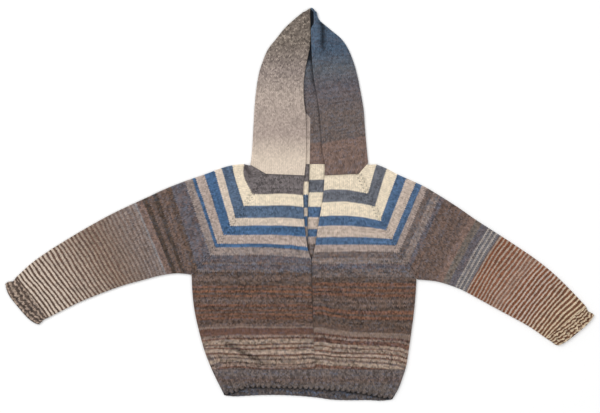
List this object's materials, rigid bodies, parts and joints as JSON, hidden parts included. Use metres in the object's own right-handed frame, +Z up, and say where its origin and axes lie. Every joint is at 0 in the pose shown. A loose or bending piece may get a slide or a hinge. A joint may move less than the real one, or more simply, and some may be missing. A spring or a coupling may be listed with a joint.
{
  "type": "hooded knitted pullover",
  "caption": "Hand-knitted striped pullover with a pointed hood, raglan sleeves, a neck slit and ribbed hem and cuffs, lying flat on its back.",
  "frame": {"origin": "middle of the garment's own box in plan, on the ground that it lies on", "axes": "+X across the sleeves to the viewer's right, +Y up the garment from the hem to the hood's point, +Z up from the ground through back and front"},
  "size_m": [1.327, 0.8844, 0.0087],
  "materials": {
    "knit_body": "matte wool stockinette, striped, brown and blue-grey marl",
    "knit_sleeves": "matte wool stockinette, fine brown and beige stripes",
    "knit_hood_left": "matte wool stockinette, cream heather",
    "knit_hood_right": "matte wool stockinette, brown and grey heather",
    "knit_ribs": "matte wool ribbing, grey marl"
  },
  "bodies": {
    "root": {"back_left": "knit_body", "back_right": "knit_body", "front_left": "knit_body", "front_right": "knit_body", "sleeve_left": "knit_sleeves", "sleeve_right": "knit_sleeves", "hood_left": "knit_hood_left", "hood_right": "knit_hood_right", "hem_back": "knit_ribs", "hem_front": "knit_ribs", "cuff_left": "knit_ribs", "cuff_right": "knit_ribs"}
  },
  "joints": []
}
